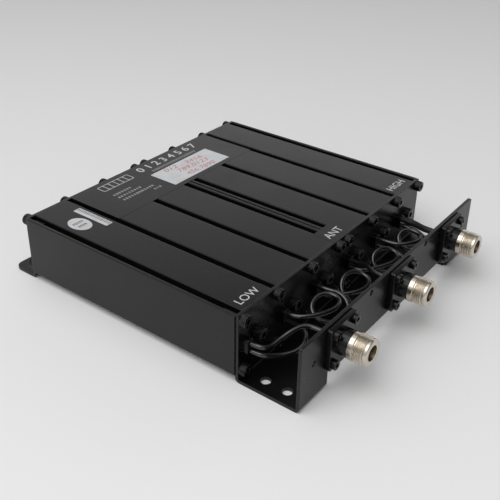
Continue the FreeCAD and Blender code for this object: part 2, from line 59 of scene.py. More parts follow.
# places that the other pieces stand on, read from the frame
sheet = 2 * mm
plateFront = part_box("front_bracket")[1].y - sheet
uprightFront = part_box("front_bracket")[0].y
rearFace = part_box("rear_plate")[0].y + sheet
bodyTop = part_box("body_extrusion_low")[1].z
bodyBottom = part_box("body_extrusion_low")[0].z
middleHeight = (bodyTop + bodyBottom) / 2
cavityXs = [middleOf("resonator_rod_%d" % number).x for number in cavityNumbers]
portXs = [middleOf("cable_port_%d" % number).x for number in cavityNumbers]
connectors = {name: middleOf(name + "_connector_contact").x for name in ("low", "antenna", "high")}
connectorHeight = middleOf("low_connector_contact").z
slotInsets = (4.2 * mm, 33.5 * mm, 66.5 * mm, 95.8 * mm)
slotDrop = 3.5 * mm
extrusionStarts = [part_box(node)[0].x for node in ("body_extrusion_low", "body_extrusion_high")]
slotXs = [start + inset for start in extrusionStarts for inset in slotInsets]
slotZs = (bodyTop - slotDrop, bodyBottom + slotDrop)


# camera
cameraView = {
    "eye": (-0.35182, -0.25620, 0.27753),
    "azimuth": 54.82,
    "pitch": -28.94,
    "roll": 1.663,
    "lens": 56.56,
    "shift": (-0.0402, -0.0699),
}


def addCamera(view):
    data = bpy.data.cameras.new("camera")
    data.lens = view["lens"]
    data.sensor_width = 36
    data.shift_x, data.shift_y = view["shift"]
    camera = bpy.data.objects.new("camera", data)
    turn = Matrix.Rotation(-math.radians(view["azimuth"]), 4, "Z")
    tilt = Matrix.Rotation(math.radians(90 + view["pitch"]), 4, "X")
    spin = Matrix.Rotation(math.radians(view["roll"]), 4, "Z")
    camera.matrix_world = Matrix.Translation(view["eye"]) @ turn @ tilt @ spin
    scene.collection.objects.link(camera)
    scene.camera = camera


addCamera(cameraView)
print("camera set")


# node building, shared by materials and geometry trees
def socketOf(node, key):
    if isinstance(key, int):
        return node.inputs[key]
    return next(socket for socket in node.inputs if socket.name == key and socket.enabled)


def addNode(tree, kind, inputs=None, **settings):
    node = tree.nodes.new(kind)
    for name, value in settings.items():
        setattr(node, name, value)
    for key, value in (inputs or {}).items():
        if isinstance(value, bpy.types.NodeSocket):
            tree.links.new(value, socketOf(node, key))
        else:
            socketOf(node, key).default_value = value
    return node


# first output of a new node
def outOf(tree, kind, inputs=None, **settings):
    return addNode(tree, kind, inputs, **settings).outputs[0]


def calc(tree, operation, *values, clamp=False):
    return outOf(tree, "ShaderNodeMath", dict(enumerate(values)), operation=operation, use_clamp=clamp)


def vectorOf(tree, x, y, z):
    return outOf(tree, "ShaderNodeCombineXYZ", {0: x, 1: y, 2: z})


def times(tree, first, second):
    return calc(tree, "MULTIPLY", first, second)


def plus(tree, first, second):
    return calc(tree, "ADD", first, second)


def minus(tree, first, second):
    return calc(tree, "SUBTRACT", first, second)


# finishes
def startFinish(name, gloss=0.5, **constants):
    material = bpy.data.materials.new(name)
    material.use_nodes = True
    tree = material.node_tree
    shader = tree.nodes["Principled BSDF"]
    shader.inputs["Specular IOR Level"].default_value = gloss
    for key, value in constants.items():
        shader.inputs[key].default_value = value
    coords = addNode(tree, "ShaderNodeTexCoord").outputs["Object"]
    return material, tree, shader, coords


def wireShader(tree, shader, tone, sheen, normal):
    for key, source in (("Base Color", tone), ("Roughness", sheen), ("Normal", normal)):
        tree.links.new(source, shader.inputs[key])


# noise whose lumps are about that size in metres
def noiseOf(tree, coords, size, detail=2.0, stretch=(1, 1, 1), offset=(0, 0, 0)):
    inputs = {"Vector": coords, "Scale": tuple(share / size for share in stretch), "Location": offset}
    scaled = addNode(tree, "ShaderNodeMapping", inputs)
    inputs = {"Vector": scaled.outputs[0], "Scale": 1.0, "Detail": detail}
    return outOf(tree, "ShaderNodeTexNoise", inputs)


def spread(tree, value, fromLow, fromHigh, toLow, toHigh):
    inputs = {"Value": value, "From Min": fromLow, "From Max": fromHigh, "To Min": toLow, "To Max": toHigh}
    return outOf(tree, "ShaderNodeMapRange", inputs)


def mixNumbers(tree, factor, first, second):
    inputs = {"Factor": factor, "A": first, "B": second}
    return outOf(tree, "ShaderNodeMix", inputs, data_type="FLOAT")


def blendColours(tree, factor, first, second):
    node = addNode(tree, "ShaderNodeMix", data_type="RGBA")
    for index, value in ((0, factor), (6, first), (7, second)):
        if isinstance(value, bpy.types.NodeSocket):
            tree.links.new(value, node.inputs[index])
        else:
            node.inputs[index].default_value = value
    return node.outputs[2]


def grey(value):
    return (value, value, value, 1)


def dotOf(tree, first, second):
    inputs = {0: first, 1: second}
    return addNode(tree, "ShaderNodeVectorMath", inputs, operation="DOT_PRODUCT").outputs["Value"]


# softened normal, and a mask that is 1 along convex and concave edges
def edgeOf(tree, radius, samples=6):
    soft = outOf(tree, "ShaderNodeBevel", {"Radius": radius}, samples=samples)
    true = addNode(tree, "ShaderNodeNewGeometry").outputs["Normal"]
    return soft, spread(tree, dotOf(tree, soft, true), 0.998, 0.86, 0.0, 1.0)


def bumpOf(tree, height, distance, normal=None):
    inputs = {"Height": height, "Distance": distance, "Strength": 1.0}
    if normal is not None:
        inputs["Normal"] = normal
    return outOf(tree, "ShaderNodeBump", inputs)


# satin black coat: orange peel, cloudy sheen, dust, and thin greyed edges, partly wear and partly painted
# highlight
def powderFinish(name, colour, roughness, peel, wearAndGlint, edge):
    material, tree, shader, coords = startFinish(name, gloss=0.385)
    soft, edgeMask = edgeOf(tree, edge)
    lumps = noiseOf(tree, coords, 0.9 * mm, 3.0)
    clouds = noiseOf(tree, coords, 34 * mm, 5.0)
    breakUp = noiseOf(tree, coords, 2.4 * mm, 4.0)
    dust = spread(tree, noiseOf(tree, coords, 0.5 * mm, 0.0, offset=(7, 3, 1)), 0.79, 0.84, 0.0, 0.14)
    # edges greyed: partly wear, partly a painted highlight along the edges
    wornAndGlint = times(tree, edgeMask, spread(tree, breakUp, 0.46, 0.66, 0.0, wearAndGlint))
    cloudy = spread(tree, clouds, 0.3, 0.7, 0.0, 1.0)
    tone = blendColours(tree, cloudy, grey(colour * 0.86), grey(colour * 1.16))
    tone = blendColours(tree, wornAndGlint, tone, grey(0.16))
    tone = blendColours(tree, dust, tone, grey(0.45))
    sheen = spread(tree, clouds, 0.3, 0.7, roughness - 0.05, roughness + 0.05)
    sheen = plus(tree, sheen, spread(tree, breakUp, 0.3, 0.7, -0.02, 0.02))
    wireShader(tree, shader, tone, sheen, bumpOf(tree, lumps, peel, soft))
    return material


# black oxide on steel: thin, slightly metallic, with pale edges, partly where tools touched it and partly
# painted glints
def oxideFinish(name, colour, roughness):
    material, tree, shader, coords = startFinish(name, Metallic=0.55)
    soft, edgeMask = edgeOf(tree, 0.15 * mm, 4)
    patches = noiseOf(tree, coords, 1.6 * mm, 5.0)
    scratches = noiseOf(tree, coords, 0.25 * mm, 2.0, (1, 0.15, 1))
    tone = blendColours(tree, spread(tree, patches, 0.35, 0.7, 0.0, 1.0), grey(colour), grey(colour * 1.7))
    # socket rims and head edges lightened grey: tool wear and painted glints
    wornAndGlint = times(tree, edgeMask, spread(tree, patches, 0.42, 0.62, 0.1, 0.75))
    tone = blendColours(tree, wornAndGlint, tone, grey(0.5))
    sheen = spread(tree, patches, 0.3, 0.7, roughness - 0.07, roughness + 0.1)
    wireShader(tree, shader, tone, sheen, bumpOf(tree, scratches, 0.006 * mm, soft))
    return material


# turned metal whose tool lines run round the Y axis
def turnedFinish(name, colour, roughness, lines, tarnish):
    material, tree, shader, coords = startFinish(name, Metallic=1.0)
    soft = edgeOf(tree, 0.12 * mm, 4)[0]
    rings = noiseOf(tree, coords, lines, 1.0, (0.002, 1, 0.002))
    spots = noiseOf(tree, coords, 3.0 * mm, 6.0)
    pores = noiseOf(tree, coords, 0.35 * mm, 3.0)
    dull = tuple(channel * tarnish for channel in colour[:3]) + (1,)
    tone = blendColours(tree, spread(tree, spots, 0.42, 0.72, 0.0, 1.0), colour, dull)
    sheen = spread(tree, spots, 0.35, 0.7, roughness, roughness + 0.12)
    sheen = plus(tree, sheen, spread(tree, pores, 0.4, 0.7, 0.0, 0.05))
    wireShader(tree, shader, tone, sheen, bumpOf(tree, rings, 0.003 * mm, soft))
    return material


# nickel plate on the turned end, black paint on the flange and neck, rubbed where they meet
def connectorFinish(name, paintEnd):
    material, tree, shader, coords = startFinish(name, gloss=0.3)
    soft, edgeMask = edgeOf(tree, 0.14 * mm, 4)
    parts = addNode(tree, "ShaderNodeSeparateXYZ", {0: coords})
    wobble = noiseOf(tree, coords, 1.2 * mm, 4.0)
    edge = plus(tree, parts.outputs[1], spread(tree, wobble, 0.3, 0.7, -0.12 * mm, 0.12 * mm))
    painted = spread(tree, edge, paintEnd - 0.05 * mm, paintEnd + 0.05 * mm, 0.0, 1.0)
    rubbed = times(tree, edgeMask, spread(tree, wobble, 0.52, 0.66, 0.0, 0.8))
    painted = times(tree, painted, minus(tree, 1.0, rubbed))
    rings = noiseOf(tree, coords, 0.1 * mm, 1.0, (0.002, 1, 0.002))
    spots = noiseOf(tree, coords, 2.2 * mm, 6.0)
    film = noiseOf(tree, coords, 0.3 * mm, 3.0)
    tarnished = spread(tree, spots, 0.4, 0.72, 0.0, 1.0)
    nickel = blendColours(tree, tarnished, (0.63, 0.575, 0.49, 1), (0.57, 0.51, 0.425, 1))
    tone = blendColours(tree, painted, nickel, grey(0.002))
    tree.links.new(minus(tree, 1.0, painted), shader.inputs["Metallic"])
    sheen = plus(tree, spread(tree, spots, 0.35, 0.7, 0.21, 0.26), spread(tree, film, 0.4, 0.7, 0.0, 0.03))
    sheen = mixNumbers(tree, painted, sheen, spread(tree, wobble, 0.3, 0.7, 0.20, 0.28))
    wireShader(tree, shader, tone, sheen, bumpOf(tree, rings, 0.0008 * mm, soft))
    return material


# extruded cable jacket with faint draw lines and handling marks
def jacketFinish(name, colour, roughness, gloss):
    material, tree, shader, coords = startFinish(name, gloss)
    marks = noiseOf(tree, coords, 4 * mm, 5.0)
    fine = noiseOf(tree, coords, 0.4 * mm, 3.0)
    tone = blendColours(tree, spread(tree, marks, 0.35, 0.7, 0.0, 1.0), grey(colour), grey(colour * 1.8))
    sheen = spread(tree, marks, 0.3, 0.7, roughness - 0.05, roughness + 0.09)
    wireShader(tree, shader, tone, sheen, bumpOf(tree, fine, 0.006 * mm))
    return material


# matt label paper with fibres, faint stains and rubbed corners
def paperFinish(name, colour, stain):
    material, tree, shader, coords = startFinish(name)
    fibres = noiseOf(tree, coords, 0.35 * mm, 4.0, (1, 0.4, 1))
    stains = noiseOf(tree, coords, 9 * mm, 5.0)
    tone = blendColours(tree, spread(tree, stains, 0.4, 0.75, 0.0, 1.0), colour, stain)
    tone = blendColours(tree, spread(tree, fibres, 0.3, 0.7, 0.0, 0.12), tone, stain)
    sheen = spread(tree, stains, 0.3, 0.7, 0.42, 0.6)
    wireShader(tree, shader, tone, sheen, bumpOf(tree, fibres, 0.008 * mm))
    return material


# printed or drawn ink that has worn thin in places
def inkFinish(name, colour, thin):
    material, tree, shader, coords = startFinish(name)
    gaps = noiseOf(tree, coords, 0.6 * mm, 5.0)
    tone = blendColours(tree, spread(tree, gaps, 0.5, 0.78, 0.0, 0.8), colour, thin)
    sheen = spread(tree, gaps, 0.3, 0.7, 0.44, 0.58)
    wireShader(tree, shader, tone, sheen, bumpOf(tree, gaps, 0.004 * mm))
    return material


paintReach = 9.35 * mm  # how far in front of the upright the sockets are painted
finishes = {
    # coats: tone, roughness, depth of the peel, greying of the edges (wear and painted highlight) and its
    # width
    "black_body": powderFinish("satinBlackBody", 0.002, 0.33, 0.006 * mm, 0.30, 0.35 * mm),
    "black_sheet": powderFinish("satinBlackSheet", 0.002, 0.30, 0.005 * mm, 0.35, 0.35 * mm),
    "black_plate": powderFinish("satinBlackFilm", 0.002, 0.33, 0.006 * mm, 0.06, 0.06 * mm),
    # oxide: tone, roughness
    "black_screw": oxideFinish("blackOxideSteel", 0.004, 0.24),
    "port_metal": oxideFinish("blackenedPort", 0.002, 0.22),
    # turned metal: colour, roughness, width of the tool lines, share of the colour where it is dull
    "rod_metal": turnedFinish("turnedAluminium", (0.76, 0.77, 0.78, 1), 0.26, 0.2 * mm, 0.85),
    "brass": turnedFinish("turnedBrass", (0.72, 0.5, 0.22, 1), 0.24, 0.1 * mm, 0.68),
    "silvered_wire": turnedFinish("silveredWire", (0.86, 0.85, 0.82, 1), 0.22, 0.3 * mm, 0.8),
    "gold_contact": turnedFinish("goldContact", (0.95, 0.68, 0.28, 1), 0.2, 0.1 * mm, 0.8),
    "nickel": connectorFinish("nickelAndPaint", uprightFront - paintReach),
    # jackets: tone, roughness, gloss
    "black_cable": jacketFinish("cableJacket", 0.0045, 0.14, 0.85),
    "sleeve": jacketFinish("shrinkSleeve", 0.0045, 0.55, 0.5),
    # paper and plastic: colour, stain
    "white_paper": paperFinish("labelPaper", (0.58, 0.59, 0.61, 1), (0.50, 0.50, 0.51, 1)),
    "white_insulator": paperFinish("mouldedInsulator", (0.82, 0.81, 0.77, 1), (0.7, 0.66, 0.58, 1)),
}
# dark finish for the inside of the sockets' bores: painted shade of the recess
boreShade = turnedFinish("paintedBoreShade", (0.17, 0.13, 0.09, 1), 0.34, 0.1 * mm, 0.5)
# inks: colour, colour where it has worn thin
whiteInk = inkFinish("whiteInk", grey(0.58), grey(0.20))
fineInk = inkFinish("fineInk", grey(0.26), grey(0.08))
redInk = inkFinish("redInk", (0.50, 0.10, 0.11, 1), (0.55, 0.40, 0.40, 1))
darkInk = inkFinish("darkInk", grey(0.16), grey(0.3))
print("finishes for", len(finishes), "slots")


# give every carried-over node the finish of its slot, whose name its plain material has
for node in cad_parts.values():
    materials = node.data.materials
    for index, plain in enumerate(materials):
        materials[index] = finishes[plain.name]


# turn a finished mesh or curve, already in its place, into a piece of the object
def addPiece(name, data, body, nodes=()):
    piece = bpy.data.objects.new(name, data)
    scene.collection.objects.link(piece)
    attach(piece, body)
    if nodes:
        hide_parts(*nodes)
    return piece


def paint(mesh, material):
    mesh.materials.clear()
    mesh.materials.append(material)


def softShade(mesh):
    mesh.shade_smooth()
    mesh.set_sharp_from_angle(angle=sharpAngle)


# coaxial links: control points in metres, from port to far end
cable = {
    "diameter": 2.7 * mm,
    "sleevedDiameter": 4.2 * mm,
    "straight": 4.8 * mm,
    "upper": 24.9 * mm,
    "lower": 20.2 * mm,
    "portReach": 4.0 * mm,
    "leadEnd": 8.5 * mm,
    "branchReach": 6 * mm,
    "branchXs": (-10.8 * mm, -6 * mm),
    "resolution": 10,
    "sides": 6,
}
portFace = plateFront - cable["portReach"]
leadEnd = uprightFront + cable["leadEnd"]


# where a link leaves its port, and the end of its first straight run
def portRun(number, height):
    x = portXs[number - 1]
    return [(x, portFace, height), (x, portFace - cable["straight"], height)]


def leadRun(name):
    x = connectors[name]
    return [(x, leadEnd + cable["straight"], connectorHeight), (x, leadEnd, connectorHeight)]


# points in millimetres from a port's axis and the front plate
def routeFrom(number, points):
    return [(portXs[number - 1] + dx * mm, plateFront + dy * mm, z * mm) for dx, dy, z in points]


branchY = uprightFront + cable["branchReach"]
branchRun = [(x, branchY, connectorHeight) for x in cable["branchXs"]]
cableRoutes = {
    "low_lead": portRun(1, cable["upper"]) + routeFrom(1, [
        (2.2, -11.6, 24.0), (7.2, -12.9, 23.5), (13.4, -13.8, 24.8), (20.4, -16.6, 27.4),
        (26.2, -19.8, 28.2),
    ]) + leadRun("low"),
    "link_1_2": portRun(1, cable["lower"]) + routeFrom(1, [
        (2.2, -12.0, 19.2), (6.8, -14.4, 17.6), (12.0, -18.0, 16.8), (18.4, -21.8, 17.6),
        (25.5, -21.6, 20.0), (30.6, -17.0, 21.2),
    ]) + portRun(2, cable["lower"])[::-1],
    "link_2_3": portRun(2, cable["upper"]) + routeFrom(2, [
        (4.0, -14.5, 25.2), (12.0, -19.8, 24.9), (22.0, -22.4, 24.3), (29.8, -19.6, 24.3),
        (30.2, -12.2, 25.6), (23.5, -7.8, 25.8), (15.8, -8.4, 22.8), (13.0, -14.0, 18.4),
        (16.8, -21.8, 16.4), (25.2, -25.8, 16.8), (33.6, -23.4, 19.6), (36.2, -16.2, 23.6),
    ]) + portRun(3, cable["upper"])[::-1],
    "link_3_antenna": portRun(3, cable["lower"]) + routeFrom(3, [
        (5.0, -13.6, 20.8), (11.5, -19.4, 20.8), (20.2, -23.0, 20.6), (28.0, -21.4, 21.8),
        (29.2, -14.8, 23.8), (24.0, -10.0, 25.8), (16.6, -9.0, 25.2), (11.4, -11.0, 20.6),
        (10.0, -16.5, 15.8), (8.6, -24.4, 15.8), (8.4, -30.0, 19.8), (11.6, -32.0, 25.4),
    ]) + branchRun,
    "link_antenna_4": portRun(4, cable["upper"]) + routeFrom(4, [
        (-0.5, -14.5, 25.8), (-4.5, -19.8, 26.6),
    ]) + leadRun("antenna"),
    "link_4_5": portRun(4, cable["lower"]) + routeFrom(4, [
        (1.8, -12.2, 20.2), (6.4, -15.2, 20.4), (12.4, -18.8, 20.6), (19.4, -22.0, 20.9),
        (25.6, -22.4, 21.6), (28.7, -18.2, 23.2), (26.4, -13.2, 24.8), (20.8, -10.8, 25.8),
        (14.6, -9.8, 23.4), (11.6, -13.6, 17.6), (14.6, -21.6, 15.6), (22.6, -27.0, 15.6),
        (31.2, -25.0, 16.8), (35.4, -17.6, 18.8),
    ]) + portRun(5, cable["lower"])[::-1],
    "link_5_6": portRun(5, cable["upper"]) + routeFrom(5, [
        (0.8, -16.0, 25.0), (6.6, -22.4, 24.8), (15.2, -25.4, 24.2), (22.4, -22.6, 24.4),
        (22.6, -15.2, 25.8), (16.8, -11.0, 25.6), (11.0, -11.8, 22.0), (10.2, -18.0, 17.4),
        (15.6, -25.2, 16.0), (24.4, -27.0, 16.2), (31.8, -22.0, 17.4), (34.4, -14.4, 19.2),
    ]) + portRun(6, cable["lower"])[::-1],
    "high_lead": portRun(6, cable["upper"]) + routeFrom(6, [
        (-0.6, -14.5, 24.8), (-3.6, -19.8, 25.6),
    ]) + leadRun("high"),
}


def layCable(name, points):
    curve = bpy.data.curves.new(name + "_jacket", "CURVE")
    curve.dimensions = "3D"
    sleeved = name == "high_lead"
    curve.bevel_depth = cable["sleevedDiameter" if sleeved else "diameter"] / 2
    curve.bevel_resolution = cable["sides"]
    curve.resolution_u = cable["resolution"]
    curve.use_fill_caps = True
    spline = curve.splines.new("NURBS")
    spline.points.add(len(points) - 1)
    for control, place in zip(spline.points, points):
        control.co = (*place, 1)
    spline.order_u = 3
    spline.use_endpoint_u = True
    slotName = "sleeve" if sleeved else "black_cable"
    curve.materials.append(finishes[slotName])
    piece = addPiece(name + "_jacket", curve, housing, [name])


for name, points in cableRoutes.items():
    layCable(name, points)
print("links laid:", len(cableRoutes))


# geometry trees
def newTree(name, sizes, others):
    tree = bpy.data.node_groups.new(name, "GeometryNodeTree")
    tree.interface.new_socket("Geometry", in_out="INPUT", socket_type="NodeSocketGeometry")
    for label, kind in {**dict.fromkeys(sizes, "Float"), **others}.items():
        tree.interface.new_socket(label, in_out="INPUT", socket_type="NodeSocket" + kind)
    tree.interface.new_socket("Geometry", in_out="OUTPUT", socket_type="NodeSocketGeometry")
    return tree, tree.nodes.new("NodeGroupInput").outputs


def pickByRow(tree, row, values):
    switch = addNode(tree, "GeometryNodeIndexSwitch", data_type="FLOAT")
    while len(switch.index_switch_items) < len(values):
        switch.index_switch_items.new()
    tree.links.new(row, switch.inputs[0])
    for index, value in enumerate(values):
        if isinstance(value, bpy.types.NodeSocket):
            tree.links.new(value, switch.inputs[index + 1])
        else:
            switch.inputs[index + 1].default_value = value
    return switch.outputs[0]


# a sheet of points with the turn angle and the row number of each
def gridRows(tree, columns, rows):
    inputs = {"Size X": 1.0, "Size Y": 1.0, "Vertices X": columns, "Vertices Y": rows}
    grid = addNode(tree, "GeometryNodeMeshGrid", inputs)
    place = outOf(tree, "GeometryNodeInputPosition")
    parts = addNode(tree, "ShaderNodeSeparateXYZ", {0: place})
    angle = times(tree, plus(tree, parts.outputs[0], 0.5), fullTurn)
    lastRow = minus(tree, rows, 1.0)
    row = calc(tree, "ROUND", times(tree, plus(tree, parts.outputs[1], 0.5), lastRow))
    return grid.outputs[0], angle, row


# roll the sheet round Z, close its seam and poles, and mark its sharp edges
def wrapRound(tree, mesh, angle, radius, height):
    x = times(tree, radius, calc(tree, "COSINE", angle))
    y = times(tree, radius, calc(tree, "SINE", angle))
    inputs = {"Geometry": mesh, "Position": vectorOf(tree, x, y, height)}
    moved = outOf(tree, "GeometryNodeSetPosition", inputs)
    inputs = {"Geometry": moved, "Distance": weldGap}
    closed = outOf(tree, "GeometryNodeMergeByDistance", inputs)
    smooth = outOf(tree, "GeometryNodeSetShadeSmooth", {"Geometry": closed, "Shade Smooth": True})
    bend = addNode(tree, "GeometryNodeInputMeshEdgeAngle").outputs["Unsigned Angle"]
    sharp = calc(tree, "GREATER_THAN", bend, sharpAngle)
    inputs = {"Geometry": smooth, "Name": "sharp_edge", "Value": sharp}
    return outOf(tree, "GeometryNodeStoreNamedAttribute", inputs, data_type="BOOLEAN", domain="EDGE")


# how much further out a hexagon reaches than its flats, at an angle
def hexSpread(tree, angle):
    wrapped = calc(tree, "WRAP", angle, math.radians(30), math.radians(-30))
    return calc(tree, "DIVIDE", 1.0, calc(tree, "COSINE", wrapped))


def randomOf(tree, low, high, seed, kind):
    node = addNode(tree, "FunctionNodeRandomValue", {"Min": low, "Max": high, "Seed": seed}, data_type=kind)
    return next(output for output in node.outputs if output.enabled)


# make the copies real and painted, and hand them out
def endTree(tree, given, copies):
    real = outOf(tree, "GeometryNodeRealizeInstances", {"Geometry": copies})
    inputs = {"Geometry": real, "Material": given["Material"]}
    addNode(tree, "NodeGroupOutput", {0: outOf(tree, "GeometryNodeSetMaterial", inputs)})


# copy the shape to every point, facing one way, each turned by its own amount
def standOnPoints(tree, given, shape):
    facing = outOf(tree, "FunctionNodeAlignRotationToVector", {"Vector": given["Facing"]}, axis="Z")
    spin = randomOf(tree, 0.0, fullTurn, given["Spin Seed"], "FLOAT")
    about = outOf(tree, "FunctionNodeAxisAngleToRotation", {"Axis": (0, 0, 1), "Angle": spin})
    inputs = {"Rotation": facing, "Rotate By": about}
    turned = outOf(tree, "FunctionNodeRotateRotation", inputs, rotation_space="LOCAL")
    inputs = {"Points": given["Geometry"], "Instance": shape, "Rotation": turned}
    endTree(tree, given, outOf(tree, "GeometryNodeInstanceOnPoints", inputs))


standSockets = {"Facing": "Vector", "Spin Seed": "Int", "Material": "Material"}


# cap screw along Z: shank below, knurled head above, hexagon socket in its top
def buildScrewTree():
    sizes = ["Head Radius", "Head Height", "Head Round", "Socket Radius", "Socket Depth", "Shank Radius"]
    sizes += ["Shank Length", "Knurl Depth"]
    tree, given = newTree("capScrew", sizes, {"Knurls": "Int", **standSockets})
    head = given["Head Radius"]
    height = given["Head Height"]
    rounding = given["Head Round"]
    shank = given["Shank Radius"]
    below = times(tree, given["Shank Length"], -1.0)
    tip = plus(tree, below, rounding)
    shoulder = minus(tree, height, rounding)
    halfRound = times(tree, rounding, 0.3)
    floor = minus(tree, height, given["Socket Depth"])
    socket = given["Socket Radius"]
    socketLip = plus(tree, socket, times(tree, rounding, 0.35))
    rings = [  # radius, height, hexagon share, knurl share
        (0.0, below, 0, 0),
        (minus(tree, shank, rounding), below, 0, 0),
        (shank, tip, 0, 0),
        (shank, 0.0, 0, 0),
        (minus(tree, head, halfRound), 0.0, 0, 0),
        (head, halfRound, 0, 1),
        (head, shoulder, 0, 1),
        (minus(tree, head, halfRound), minus(tree, height, halfRound), 0, 0),
        (minus(tree, head, rounding), height, 0, 0),
        (socketLip, height, 1, 0),
        (socket, minus(tree, height, halfRound), 1, 0),
        (socket, floor, 1, 0),
        (0.0, minus(tree, floor, times(tree, socket, 0.4)), 0, 0),
    ]
    columns = plus(tree, times(tree, given["Knurls"], 4.0), 1.0)
    mesh, angle, row = gridRows(tree, columns, len(rings))
    picked = [pickByRow(tree, row, [ring[index] for ring in rings]) for index in range(4)]
    reach = minus(tree, hexSpread(tree, angle), 1.0)
    shaped = times(tree, picked[0], calc(tree, "MULTIPLY_ADD", reach, picked[2], 1.0))
    wave = calc(tree, "SINE", times(tree, angle, given["Knurls"]))
    ridge = times(tree, given["Knurl Depth"], picked[3])
    cut = times(tree, ridge, calc(tree, "MULTIPLY_ADD", wave, 0.5, -0.5))
    standOnPoints(tree, given, wrapRound(tree, mesh, angle, plus(tree, shaped, cut), picked[1]))
    return tree


# hexagon nut along Z with both faces turned to a cone, and a bore
def buildNutTree():
    tree, given = newTree("hexNut", ["Across", "Height", "Bore", "Crown"], standSockets)
    flat = times(tree, given["Across"], 0.5)
    height = given["Height"]
    bore = given["Bore"]
    crown = given["Crown"]
    bevel = times(tree, crown, 0.5)
    rings = [  # radius, height, hexagon share, how far the cone has opened
        (plus(tree, bore, bevel), 0.0, 0, 9.0),
        (flat, 0.0, 1, 0.0),
        (flat, times(tree, crown, 0.5), 1, 0.5),
        (flat, crown, 1, 1.0),
        (flat, times(tree, crown, 1.6), 1, 9.0),
        (flat, minus(tree, height, times(tree, crown, 1.6)), 1, 9.0),
        (flat, minus(tree, height, crown), 1, 1.0),
        (flat, minus(tree, height, times(tree, crown, 0.5)), 1, 0.5),
        (flat, height, 1, 0.0),
        (plus(tree, bore, bevel), height, 0, 9.0),
        (bore, minus(tree, height, bevel), 0, 9.0),
        (bore, bevel, 0, 9.0),
        (plus(tree, bore, bevel), 0.0, 0, 9.0),
    ]
    columns = 6 * 8 + 1  # eight to a flat, and the seam again
    mesh, angle, row = gridRows(tree, columns, len(rings))
    picked = [pickByRow(tree, row, [ring[index] for ring in rings]) for index in range(4)]
    reach = minus(tree, hexSpread(tree, angle), 1.0)
    shaped = times(tree, picked[0], calc(tree, "MULTIPLY_ADD", reach, picked[2], 1.0))
    cone = calc(tree, "MULTIPLY_ADD", picked[3], times(tree, crown, 1.7), flat)
    limited = calc(tree, "MINIMUM", shaped, cone)
    standOnPoints(tree, given, wrapRound(tree, mesh, angle, limited, picked[1]))
    return tree


# helical thread round Z between two heights, its ends turned down to the core
def buildThreadTree():
    sizes = ["Crest Radius", "Core Radius", "Depth", "Pitch", "Start", "Length"]
    tree, given = newTree("thread", sizes, {"Columns": "Int", "Rows per Turn": "Int", **standSockets})
    turns = calc(tree, "DIVIDE", given["Length"], given["Pitch"])
    rows = calc(tree, "CEIL", times(tree, turns, given["Rows per Turn"]))
    mesh, angle, row = gridRows(tree, plus(tree, given["Columns"], 1.0), plus(tree, rows, 3.0))
    inner = minus(tree, row, 1.0)
    share = calc(tree, "DIVIDE", inner, rows, clamp=True)
    height = calc(tree, "MULTIPLY_ADD", share, given["Length"], given["Start"])
    done = times(tree, share, turns)
    phase = minus(tree, done, calc(tree, "DIVIDE", angle, fullTurn))
    fold = times(tree, calc(tree, "PINGPONG", phase, 0.5), 2.0)  # 0 at a root, 1 at a crest
    form = spread(tree, fold, 0.12, 0.86, 1.0, 0.0)
    left = times(tree, minus(tree, 1.0, share), turns)
    lead = spread(tree, calc(tree, "MINIMUM", done, left), 0.0, 0.6, 1.0, 0.0)
    cut = times(tree, given["Depth"], calc(tree, "MAXIMUM", form, lead))
    outer = minus(tree, given["Crest Radius"], cut)
    isFirst = calc(tree, "LESS_THAN", row, 0.5)
    isLast = calc(tree, "GREATER_THAN", row, plus(tree, rows, 1.5))
    radius = mixNumbers(tree, plus(tree, isFirst, isLast), outer, given["Core Radius"])
    standOnPoints(tree, given, wrapRound(tree, mesh, angle, radius, height))
    return tree


# plain mesh of what an object's curve or tree makes; the object goes
def takeMesh(holder):
    scene.collection.objects.link(holder)
    depsgraph = bpy.context.evaluated_depsgraph_get()
    mesh = bpy.data.meshes.new_from_object(holder.evaluated_get(depsgraph))
    holder.modifiers.clear()
    bpy.data.objects.remove(holder)
    return mesh


# run a tree on a set of points
def growMesh(name, tree, places, settings):
    points = bpy.data.meshes.new(name + "Points")
    points.from_pydata(places, [], [])
    holder = bpy.data.objects.new(name + "Holder", points)
    modifier = holder.modifiers.new("copies", "NODES")
    modifier.node_group = tree
    for item in tree.interface.items_tree:
        if item.in_out == "INPUT" and item.name in settings:
            modifier[item.identifier] = settings[item.name]
    mesh = takeMesh(holder)
    mesh.name = name
    return mesh


screwTree = buildScrewTree()
nutTree = buildNutTree()
threadTree = buildThreadTree()
towardsFront = (0, -1, 0)
towardsRear = (0, 1, 0)

plateScrew = {
    "Head Radius": 3.5 * mm, "Head Height": 4.0 * mm, "Head Round": 0.4 * mm, "Socket Radius": 1.5 * mm,
    "Socket Depth": 2.2 * mm, "Shank Radius": 1.95 * mm, "Shank Length": 12 * mm, "Knurls": 36,
    "Knurl Depth": 0.16 * mm,
}
rodScrew = {
    "Head Radius": 4.0 * mm, "Head Height": 4.5 * mm, "Head Round": 0.4 * mm, "Socket Radius": 1.72 * mm,
    "Socket Depth": 2.5 * mm, "Shank Radius": 2.45 * mm, "Shank Length": 14 * mm, "Knurls": 40,
    "Knurl Depth": 0.16 * mm,
}
flangeScrew = {
    "Head Radius": 2.8 * mm, "Head Height": 2.4 * mm, "Head Round": 0.3 * mm, "Socket Radius": 1.2 * mm,
    "Socket Depth": 1.3 * mm, "Shank Radius": 1.4 * mm, "Shank Length": 5.3 * mm, "Knurls": 30,
    "Knurl Depth": 0.02 * mm,
}
lockNut = {"Across": 10 * mm, "Height": 3.2 * mm, "Bore": 3.05 * mm, "Crown": 0.5 * mm}
bushRim = 1.5 * mm
